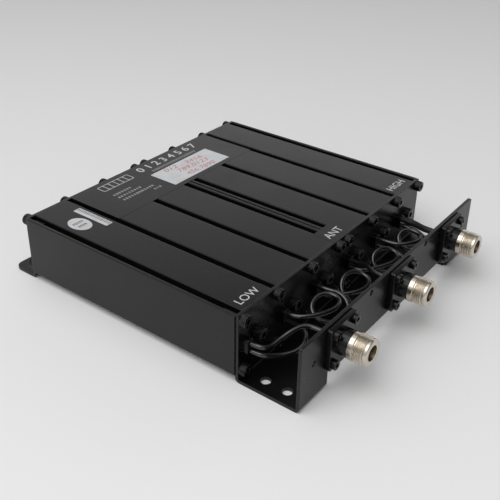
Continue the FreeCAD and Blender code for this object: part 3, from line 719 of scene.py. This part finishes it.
flange = {
    "side": 25.4 * mm,
    "corner": 1.6 * mm,
    "rounding": 0.2 * mm,
    "thickness": 3.5 * mm,
    "holeOffset": 9.13 * mm,
    "hole": 1.4 * mm,
    "bore": 7 * mm,
}
flangeCorners = [
    (dx * flange["holeOffset"], dz * flange["holeOffset"]) for dx in (-1, 1) for dz in (-1, 1)
]
slotPlaces = [(x, z) for x in slotXs for z in slotZs]
flangePlaces = [(x + dx, connectorHeight + dz) for x in connectors.values() for dx, dz in flangeCorners]
cavityPlaces = [(x, middleHeight) for x in cavityXs]
flangeFace = uprightFront - flange["thickness"]
fasteners = [  # node, tree, settings, places, face they stand on, way they face, slot
    ("front_plate_screws", screwTree, plateScrew, slotPlaces, plateFront, towardsFront, "black_screw"),
    ("rear_plate_screws", screwTree, plateScrew, slotPlaces, rearFace, towardsRear, "black_screw"),
    ("resonator_screws", screwTree, rodScrew, cavityPlaces, plateFront, towardsFront, "black_screw"),
    ("flange_screws", screwTree, flangeScrew, flangePlaces, flangeFace, towardsFront, "black_screw"),
    ("tuning_lock_nuts", nutTree, lockNut, cavityPlaces, rearFace + bushRim, towardsRear, "brass"),
]
for seed, (node, tree, settings, spots, face, facing, slotName) in enumerate(fasteners, 1):
    places = [(x, face, z) for x, z in spots]
    settings = {**settings, "Facing": facing, "Spin Seed": seed, "Material": finishes[slotName]}
    mesh = growMesh(node + "_detail", tree, places, settings)
    addPiece(node + "_detail", mesh, housing, [node])
    print(node, len(mesh.polygons), "faces")


# spin a closed outline of (radius, y) points round the Y axis through a centre
def turnProfile(outline, centre, segments=96):
    shape = bmesh.new()
    rings = []
    for radius, y in outline:
        ring = []
        for index in range(segments):
            angle = fullTurn * index / segments
            place = (centre[0] + radius * math.cos(angle), y, centre[1] + radius * math.sin(angle))
            ring.append(shape.verts.new(place))
        rings.append(ring)
    for first, second in zip(rings, rings[1:] + rings[:1]):
        for index in range(segments):
            after = (index + 1) % segments
            shape.faces.new((first[index], first[after], second[after], second[index]))
    bmesh.ops.remove_doubles(shape, verts=shape.verts, dist=weldGap)
    bmesh.ops.recalc_face_normals(shape, faces=shape.faces)
    mesh = bpy.data.meshes.new("turned")
    shape.to_mesh(mesh)
    shape.free()
    softShade(mesh)
    return mesh


# one mesh from several, materials kept
def joinMeshes(name, meshes):
    joined = bmesh.new()
    materials = []
    for mesh in meshes:
        first = len(joined.faces)
        joined.from_mesh(mesh)
        joined.faces.ensure_lookup_table()
        for face in joined.faces[first:]:
            material = mesh.materials[face.material_index] if mesh.materials else None
            if material not in materials:
                materials.append(material)
            face.material_index = materials.index(material)
    result = bpy.data.meshes.new(name)
    joined.to_mesh(result)
    joined.free()
    for material in materials:
        result.materials.append(material)
    return result


# plate in the XY plane from closed loops of points, with rounded rims, middle at z 0
def flatOutline(name, loops, thickness, rounding):
    curve = bpy.data.curves.new(name, "CURVE")
    curve.dimensions = "2D"
    curve.fill_mode = "BOTH"
    curve.extrude = thickness / 2 - rounding
    curve.bevel_depth = rounding
    curve.bevel_resolution = 2
    curve.offset = -rounding
    for loop in loops:
        spline = curve.splines.new("POLY")
        spline.points.add(len(loop) - 1)
        for control, (x, y) in zip(spline.points, loop):
            control.co = (x, y, 0, 1)
        spline.use_cyclic_u = True
    return takeMesh(bpy.data.objects.new(name, curve))


# turn a flat plate upright, to face along Y, and set its middle down
def standUp(mesh, x, y, z):
    mesh.transform(Matrix.Translation((x, y, z)) @ Matrix.Rotation(math.radians(90), 4, "X"))
    softShade(mesh)


def circleLoop(x, y, radius, steps=40):
    angles = [fullTurn * step / steps for step in range(steps)]
    return [(x + radius * math.cos(angle), y + radius * math.sin(angle)) for angle in angles]


def roundedLoop(width, height, radius, x=0, steps=8):
    points = []
    for quarter, (sx, sy) in enumerate(((1, 1), (-1, 1), (-1, -1), (1, -1))):
        centre = (x + sx * (width / 2 - radius), sy * (height / 2 - radius))
        for step in range(steps + 1):
            angle = math.pi / 2 * (quarter + step / steps)
            points.append((centre[0] + radius * math.cos(angle), centre[1] + radius * math.sin(angle)))
    return points


# connector bodies: distances are in front of the upright, radii from the axis
socketBody = {
    "outline": [
        (6.2, -3.5), (6.2, 1.0), (7.6, 1.0), (7.6, 8.4), (7.45, 8.7), (7.45, 9.0), (7.75, 9.05), (7.9, 9.2),
        (7.9, 11.95), (7.75, 12.15), (7.45, 12.2), (7.2, 12.25), (7.2, 18.35), (7.5, 18.4), (7.6, 18.5),
        (7.6, 19.75), (7.45, 20.05), (7.15, 20.3), (6.95, 20.4), (4.65, 20.4), (4.42, 20.3), (4.3, 20.1),
        (4.3, 11.2), (3.0, 11.2), (3.0, -3.5),
    ],
    "thread": {
        "Crest Radius": 7.9375 * mm, "Depth": 0.62 * mm, "Pitch": 1.058 * mm, "Length": 5.4 * mm,
        "Core Radius": 7.1 * mm, "Columns": 96, "Rows per Turn": 12,
    },
    "threadStart": 12.9 * mm,
    "boreRadius": 4.4 * mm,
    "spinSeed": 7,
}


def makeSocket(name, x):
    outline = [(radius * mm, uprightFront - reach * mm) for radius, reach in socketBody["outline"]]
    turned = turnProfile(outline, (x, connectorHeight))
    paint(turned, finishes["nickel"])
    turned.materials.append(boreShade)
    # faces inside the bore radius take the dark finish: painted shade
    for face in turned.polygons:
        reach = math.hypot(face.center.x - x, face.center.z - connectorHeight)
        face.material_index = int(reach < socketBody["boreRadius"])
    loops = [roundedLoop(flange["side"], flange["side"], flange["corner"])]
    loops += [circleLoop(dx, dz, flange["hole"]) for dx, dz in flangeCorners]
    loops.append(circleLoop(0, 0, flange["bore"], 64))
    plate = flatOutline(name + "Flange", loops, flange["thickness"], flange["rounding"])
    standUp(plate, x, uprightFront - flange["thickness"] / 2, connectorHeight)
    paint(plate, finishes["nickel"])
    settings = {
        **socketBody["thread"], "Start": 0.0, "Facing": towardsFront,
        "Spin Seed": socketBody["spinSeed"], "Material": finishes["nickel"],
    }
    start = (x, uprightFront - socketBody["threadStart"], connectorHeight)
    thread = growMesh(name + "Thread", threadTree, [start], settings)
    mesh = joinMeshes(name + "_socket_body", [turned, plate, thread])
    addPiece(name + "_socket_body", mesh, housing, [name + "_connector_shell"])


for name, x in connectors.items():
    makeSocket(name, x)
print("sockets made")


# a row of flat bars along X, a little uneven in width and depth
def buildBarTree():
    others = {"Count": "Int", "Seed": "Int", "Material": "Material"}
    tree, given = newTree("barRow", ["Pitch", "Width", "Depth", "Rise", "Uneven"], others)
    size = vectorOf(tree, given["Width"], given["Depth"], given["Rise"])
    bar = outOf(tree, "GeometryNodeMeshCube", {"Size": size})
    inputs = {"Count": given["Count"], "Offset": vectorOf(tree, given["Pitch"], 0.0, 0.0)}
    line = outOf(tree, "GeometryNodeMeshLine", inputs, mode="OFFSET")
    least = minus(tree, 1.0, given["Uneven"])
    lowest = vectorOf(tree, least, calc(tree, "MULTIPLY_ADD", least, 0.4, 0.6), 1.0)
    scale = randomOf(tree, lowest, (1, 1, 1), given["Seed"], "FLOAT_VECTOR")
    inputs = {"Points": line, "Instance": bar, "Scale": scale}
    row = outOf(tree, "GeometryNodeInstanceOnPoints", inputs)
    inputs = {"Points": given["Geometry"], "Instance": row}
    endTree(tree, given, outOf(tree, "GeometryNodeInstanceOnPoints", inputs))
    return tree


# films and labels on the top: left, front, right and back edges in millimetres
filmKind = {"rise": 0.06, "slot": "black_plate"}
paperKind = {"rise": 0.14, "slot": "white_paper"}
labels = {
    "nameplate": {"edges": (-65.5, 57.4, 65.5, 102.0), "corner": 0.8, **filmKind},
    "antenna_legend": {"edges": (-8.5, -61.0, 8.5, -45.6), "corner": 0.8, **filmKind},
    "tuning_sticker": {"edges": (-10.4, 61.3, 46.0, 83.9), "corner": 0.5, **paperKind},
    "serial_label": {"edges": (-76.5, 57.0, -71.3, 86.0), "corner": 0.4, **paperKind},
    "oval_sticker": {"edges": (-91.0, 62.4, -78.6, 79.2), "corner": 0.0, **paperKind},
}
filmRounding = 0.04 * mm
onFilm = ("tuning_sticker",)
filmFace = bodyTop + labels["nameplate"]["rise"] * mm


def ovalLoop(width, depth):
    return [(x * width, y * depth) for x, y in circleLoop(0, 0, 0.5, 64)]


# where a label's or a print's underside is
def surfaceUnder(name):
    return filmFace if name in onFilm else bodyTop


for name, label in labels.items():
    left, front, right, back = (edge * mm for edge in label["edges"])
    width, depth, rise = right - left, back - front, label["rise"] * mm
    loop = roundedLoop(width, depth, label["corner"] * mm) if label["corner"] else ovalLoop(width, depth)
    mesh = flatOutline(name + "_film", [loop], rise, min(filmRounding, rise / 3))
    middle = ((left + right) / 2, (front + back) / 2, surfaceUnder(name) + rise / 2)
    mesh.transform(Matrix.Translation(middle))
    softShade(mesh)
    paint(mesh, finishes[label["slot"]])
    addPiece(name + "_film", mesh, housing, [name])
print("labels laid:", len(labels))


# printed and written marks: text, then its left, front, right and back edges in millimetres
printRise = 0.035 * mm
portLegends = [
    ("LOW", (-90.6, -55.6, -73.6, -50.4), bodyTop),
    ("ANT", (-6.4, -56.3, 9.0, -50.9), filmFace),
    ("HIGH", (72.2, -55.6, 90.2, -50.3), bodyTop),
]
scaleNumbers = ("0 1 2 3 4 5 6 7", (-11.2, 91.4, 46.6, 98.2))
scaleBoldness = 0.012
pen = {"boldness": -0.006, "shear": 0.2}
writtenNumbers = [  # text, edges, turn in degrees
    ("012 - 3456", (0.0, 77.2, 34.6, 81.4), -5.0),
    ("789.0123", (6.0, 70.6, 34.4, 75.0), -4.0),
    ("456.7890", (6.8, 63.6, 34.0, 67.8), -3.0),
]
lineRows = [  # left and front edge, count, pitch, width, depth, unevenness
    (-46.8, 80.6, 7, 2.3, 1.7, 2.3, 0.45),
    (-46.8, 76.0, 9, 2.3, 1.7, 2.3, 0.45),
    (-46.8, 71.4, 12, 2.3, 1.7, 2.3, 0.45),
    (-23.6, 66.8, 3, 2.3, 1.7, 2.3, 0.45),
    (-4.6, 86.0, 27, 1.62, 1.1, 2.6, 0.4),
]
cellBox = {
    "count": 6,
    "side": 3.9 * mm,
    "depth": 6.6 * mm,
    "gap": 0.5 * mm,
    "corner": 0.5 * mm,
    "outerCorner": 0.9 * mm,
    "place": (-46.0 * mm, 93.6 * mm),
}
serialRow = (57.8, 71.9, 18, 1.55, 1.05, 2.4, 0.45)  # along Y
serialSeed = 9
ovalSeed = 11
ovalRows = [
    (-88.6, 71.6, 5, 1.6, 1.2, 2.2, 0.35),
    (-87.8, 67.4, 4, 1.6, 1.2, 2.2, 0.35),
]


def textMesh(words, boldness, shear):
    curve = bpy.data.curves.new("words", "FONT")
    curve.body = words
    curve.size = 1.0
    curve.extrude = 0.5
    curve.offset = boldness
    curve.shear = shear
    curve.resolution_u = 4
    return takeMesh(bpy.data.objects.new("words", curve))


# stretch a mesh to fill a box of millimetres, its underside on a surface, turned about the box's middle
def fitMark(mesh, edges, surface, turn):
    left, front, right, back = (edge * mm for edge in edges)
    lows = [min(vertex.co[axis] for vertex in mesh.vertices) for axis in range(3)]
    highs = [max(vertex.co[axis] for vertex in mesh.vertices) for axis in range(3)]
    sizes = (right - left, back - front, printRise)
    mesh.transform(Matrix.Translation([-(low + high) / 2 for low, high in zip(lows, highs)]))
    scales = [size / (high - low) for size, low, high in zip(sizes, lows, highs)]
    mesh.transform(Matrix.Diagonal((*scales, 1)))
    mesh.transform(Matrix.Rotation(math.radians(turn), 4, "Z"))
    mesh.transform(Matrix.Translation(((left + right) / 2, (front + back) / 2, surface + printRise / 2)))
    return mesh


# weld a mark's faces to one closed skin
def sealMark(mesh, material):
    shape = bmesh.new()
    shape.from_mesh(mesh)
    bmesh.ops.remove_doubles(shape, verts=shape.verts, dist=weldGap / 2)
    bmesh.ops.recalc_face_normals(shape, faces=shape.faces)
    shape.to_mesh(mesh)
    shape.free()
    paint(mesh, material)
    return mesh


def printWords(words, edges, surface, ink, boldness=0.0, shear=0.0, turn=0.0):
    return sealMark(fitMark(textMesh(words, boldness, shear), edges, surface, turn), ink)


def barsMesh(row, surface, material, seed):
    left, front, count, pitch, width, depth, uneven = row
    settings = {
        "Count": count, "Pitch": pitch * mm, "Width": width * mm, "Depth": depth * mm, "Rise": printRise,
        "Uneven": uneven, "Seed": seed, "Material": material,
    }
    start = ((left + width / 2) * mm, (front + depth / 2) * mm, surface + printRise / 2)
    return growMesh("bars", barTree, [start], settings)


barTree = buildBarTree()
prints = [printWords(words, edges, surface, whiteInk) for words, edges, surface in portLegends]
prints.append(printWords(*scaleNumbers, filmFace, whiteInk, scaleBoldness))
prints += [barsMesh(row, filmFace, fineInk, seed) for seed, row in enumerate(lineRows)]
cellXs = [index * (cellBox["side"] + cellBox["gap"]) for index in range(cellBox["count"])]
width = cellXs[-1] + cellBox["side"] + 2 * cellBox["gap"]
depth = cellBox["depth"] + 2 * cellBox["gap"]
loops = [roundedLoop(width, depth, cellBox["outerCorner"], x=cellXs[-1] / 2)]
loops += [roundedLoop(cellBox["side"], cellBox["depth"], cellBox["corner"], x=x) for x in cellXs]
cells = flatOutline("cells", loops, printRise, 0.0)
left, middle = cellBox["place"]
cells.transform(Matrix.Translation((left + cellBox["side"] / 2, middle, filmFace + printRise / 2)))
prints.append(sealMark(cells, whiteInk))
addPiece("top_print", joinMeshes("top_print", prints), housing)

stickerFace = surfaceUnder("tuning_sticker") + labels["tuning_sticker"]["rise"] * mm
written = []
for words, edges, turn in writtenNumbers:
    written.append(printWords(words, edges, stickerFace, redInk, turn=turn, **pen))
addPiece("written_numbers", joinMeshes("written_numbers", written), housing)

labelFace = bodyTop + labels["serial_label"]["rise"] * mm
dark = [barsMesh(serialRow, labelFace, darkInk, serialSeed)]
dark[0].transform(Matrix.Rotation(math.radians(90), 4, "Z"))
dark += [barsMesh(row, labelFace, darkInk, seed) for seed, row in enumerate(ovalRows, ovalSeed)]
addPiece("label_print", joinMeshes("label_print", dark), housing)
print("marks printed")


# tuning screws, each on its own body
tuner = {
    "radius": 3.0 * mm,
    "slotWidth": 0.9 * mm,
    "slotDepth": 1.6 * mm,
    "pitch": 0.75 * mm,
    "depth": 0.42 * mm,
    "neck": 0.4 * mm,
    "rounding": 0.15 * mm,
    "steps": 14,
    "spinSeed": 20,
}
core = tuner["radius"] - tuner["depth"]
jawLength = tuner["slotDepth"] + tuner["neck"]
start = math.asin(tuner["slotWidth"] / 2 / core)
jawAngles = [start + (math.pi - 2 * start) * step / tuner["steps"] for step in range(tuner["steps"] + 1)]
jawArc = [(core * math.cos(angle), core * math.sin(angle)) for angle in jawAngles]
for number in cavityNumbers:
    node = "tuning_screw_%d" % number
    low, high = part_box(node)
    centre = middleOf(node)
    settings = {
        "Crest Radius": tuner["radius"], "Depth": tuner["depth"], "Pitch": tuner["pitch"], "Start": 0.0,
        "Length": high.y - low.y - jawLength, "Core Radius": 0.0, "Columns": 28, "Rows per Turn": 6,
        "Facing": towardsRear, "Spin Seed": tuner["spinSeed"] + number, "Material": finishes["brass"],
    }
    pieces = [growMesh(node + "Thread", threadTree, [(centre.x, low.y, centre.z)], settings)]
    for arc in ([(x, -y) for x, y in reversed(jawArc)], jawArc):
        jaw = flatOutline(node + "Jaw", [arc], jawLength, tuner["rounding"])
        standUp(jaw, centre.x, high.y - jawLength / 2, centre.z)
        paint(jaw, finishes["brass"])
        pieces.append(jaw)
    mesh = joinMeshes(node + "_detail", pieces)
    addPiece(node + "_detail", mesh, "tuner_%d" % number, [node])
print("tuning screws made")


# floor, light and world
studio = {
    "floorSize": 6.0,
    # floor colours near the camera and far from it, and where the painted light falloff between them starts
    # and ends
    "floorNear": 0.88,
    "floorFar": 0.665,
    "floorFadeFrom": -0.25,
    "floorFadeTo": 0.95,
    "keyPlace": (-0.62, 0.00, 1.18),
    "keyTarget": (0, 0, 0.02),
    "keySize": 1.1,
    "keyPower": 7.4,
    "towardsCamera": (-0.81, -0.58, 0.0),
    "nearTone": 0.46,
    "sideFrom": -0.75,
    "sideTo": -0.2,
    "backdropTone": 1.0,
    "backdropTop": 0.34,
    "seenTone": 0.6,
    "ceilingTone": 0.08,
    "ceilingFrom": 0.66,
    "overheadPlace": (-0.36, 0.10, 0.93),
    "overheadTone": 0.82,
    "overheadFrom": 0.50,
    "overheadTo": 0.80,
}


def addFloor():
    half = studio["floorSize"] / 2
    mesh = bpy.data.meshes.new("floor")
    corners = [(-half, -half, 0), (half, -half, 0), (half, half, 0), (-half, half, 0)]
    mesh.from_pydata(corners, [], [(0, 1, 2, 3)])
    material, tree, shader, coords = startFinish("paleFloor", gloss=0.2, Roughness=0.9)
    # floor colour painted darker with distance from the camera: painted light falloff
    further = times(tree, dotOf(tree, coords, studio["towardsCamera"]), -1.0)
    paintedFalloff = [studio[key] for key in ("floorFadeFrom", "floorFadeTo", "floorNear", "floorFar")]
    tone = spread(tree, further, *paintedFalloff)
    mottled = times(tree, tone, spread(tree, noiseOf(tree, coords, 0.5, 3.0), 0.3, 0.7, 0.985, 1.0))
    tree.links.new(mottled, shader.inputs["Base Color"])
    mesh.materials.append(material)
    floor = bpy.data.objects.new("floor", mesh)
    scene.collection.objects.link(floor)


def addKeyLight():
    data = bpy.data.lights.new("keyLight", "AREA")
    data.shape = "SQUARE"
    data.size = studio["keySize"]
    data.energy = studio["keyPower"]
    light = bpy.data.objects.new("keyLight", data)
    light.location = studio["keyPlace"]
    light.rotation_mode = "QUATERNION"
    aim = Vector(studio["keyTarget"]) - Vector(studio["keyPlace"])
    light.rotation_quaternion = aim.to_track_quat("-Z", "Y")
    scene.collection.objects.link(light)


# a pale backdrop low on the far side, a bright cloth overhead, and a darker room behind the camera
def addWorld():
    world = bpy.data.worlds.new("studio")
    world.use_nodes = True
    tree = world.node_tree
    direction = addNode(tree, "ShaderNodeTexCoord").outputs["Generated"]
    height = addNode(tree, "ShaderNodeSeparateXYZ", {0: direction}).outputs[2]
    facing = dotOf(tree, direction, studio["towardsCamera"])
    above = dotOf(tree, direction, studio["overheadPlace"])
    tones = [studio[key] for key in ("sideFrom", "sideTo", "backdropTone", "nearTone")]
    level = spread(tree, facing, *tones)
    up = spread(tree, height, studio["backdropTop"], studio["ceilingFrom"], 0.0, 1.0)
    cloth = spread(tree, above, studio["overheadFrom"], studio["overheadTo"], 0.0, 1.0)
    for share, tone in ((up, studio["ceilingTone"]), (cloth, studio["overheadTone"])):
        level = mixNumbers(tree, share, level, tone)
    seen = addNode(tree, "ShaderNodeLightPath").outputs["Is Camera Ray"]
    level = mixNumbers(tree, seen, level, studio["seenTone"])
    tree.links.new(level, tree.nodes["Background"].inputs["Color"])
    scene.world = world


addFloor()
addKeyLight()
addWorld()
print("studio lit")
